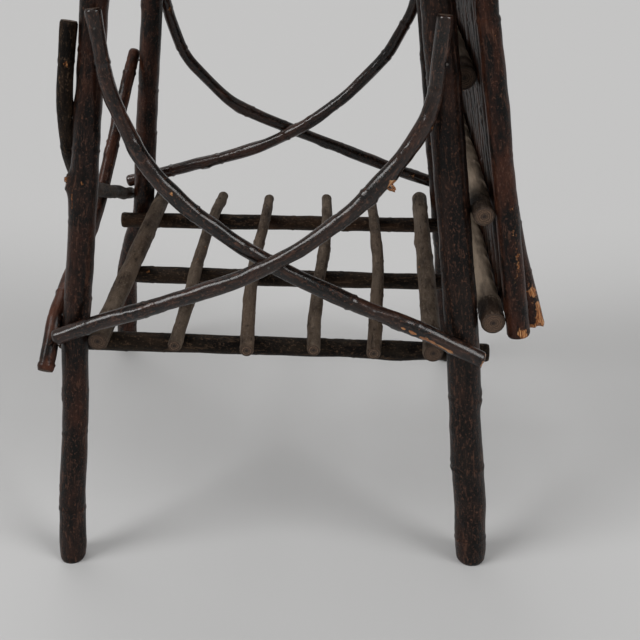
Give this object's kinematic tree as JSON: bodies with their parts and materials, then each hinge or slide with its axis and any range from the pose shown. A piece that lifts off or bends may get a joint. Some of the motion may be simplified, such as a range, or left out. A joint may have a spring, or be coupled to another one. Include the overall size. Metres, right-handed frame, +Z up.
{
  "type": "drop-leaf stick table",
  "caption": "Small rustic bark-on stick table: splayed pole legs, slatted shelf, crossed bent braces and a hinged drop leaf on one side.",
  "frame": {"origin": "on the floor under the middle of the whole table's outline with the leaf down", "axes": "+Z up, +X towards the drop leaf, -Y towards the front"},
  "size_m": [0.557, 0.4948, 0.686],
  "materials": {
    "pole_bark": "gloss varnish",
    "slat_bark": "satin",
    "batten_bark": "matte",
    "hinge_steel": "dull",
    "fasteners": "dull"
  },
  "bodies": {
    "table": {"back_brace_falling": "pole_bark", "back_brace_rising": "pole_bark", "brace_nails": "fasteners", "frame_nails": "fasteners", "front_brace_falling": "pole_bark", "front_brace_rising": "pole_bark", "hinge_pin_back": "hinge_steel", "hinge_pin_front": "hinge_steel", "hinge_plate_table_back": "hinge_steel", "hinge_plate_table_front": "hinge_steel", "hinge_screws_table": "fasteners", "left_brace_falling": "pole_bark", "left_brace_rising": "pole_bark", "leg_back_left": "pole_bark", "leg_back_right": "pole_bark", "leg_front_left": "pole_bark", "leg_front_right": "pole_bark", "shelf_nails": "fasteners", "shelf_rail_back": "pole_bark", "shelf_rail_front": "pole_bark", "shelf_rail_middle": "pole_bark", "shelf_slat_1": "slat_bark", "shelf_slat_2": "slat_bark", "shelf_slat_3": "slat_bark", "shelf_slat_4": "slat_bark", "shelf_slat_5": "slat_bark", "shelf_slat_6": "slat_bark", "top_batten_left": "pole_bark", "top_batten_middle": "pole_bark", "top_batten_right": "pole_bark", "top_nails": "fasteners", "top_rail_back": "pole_bark", "top_rail_front": "pole_bark", "top_sticks": "pole_bark"},
    "leaf": {"hinge_plate_leaf_back": "hinge_steel", "hinge_plate_leaf_front": "hinge_steel", "hinge_screws_leaf": "fasteners", "leaf_batten_1": "batten_bark", "leaf_batten_2": "batten_bark", "leaf_batten_3": "batten_bark", "leaf_nails": "fasteners", "leaf_stick_01": "pole_bark", "leaf_stick_02": "pole_bark", "leaf_stick_03": "pole_bark", "leaf_stick_04": "pole_bark", "leaf_stick_05": "pole_bark", "leaf_stick_06": "pole_bark", "leaf_stick_07": "pole_bark", "leaf_stick_08": "pole_bark", "leaf_stick_09": "pole_bark", "leaf_stick_10": "pole_bark", "leaf_stick_11": "pole_bark", "leaf_stick_12": "pole_bark", "leaf_stick_13": "pole_bark", "leaf_stick_14": "pole_bark", "leaf_stick_15": "pole_bark"}
  },
  "joints": [
    {"name": "leaf_hinge", "type": "hinge", "parent": "table", "child": "leaf", "pos_m": [0.16122, -0.00132, 0.6597], "axis": [0, -1, 0], "range_deg": [0, 79.83]}
  ]
}
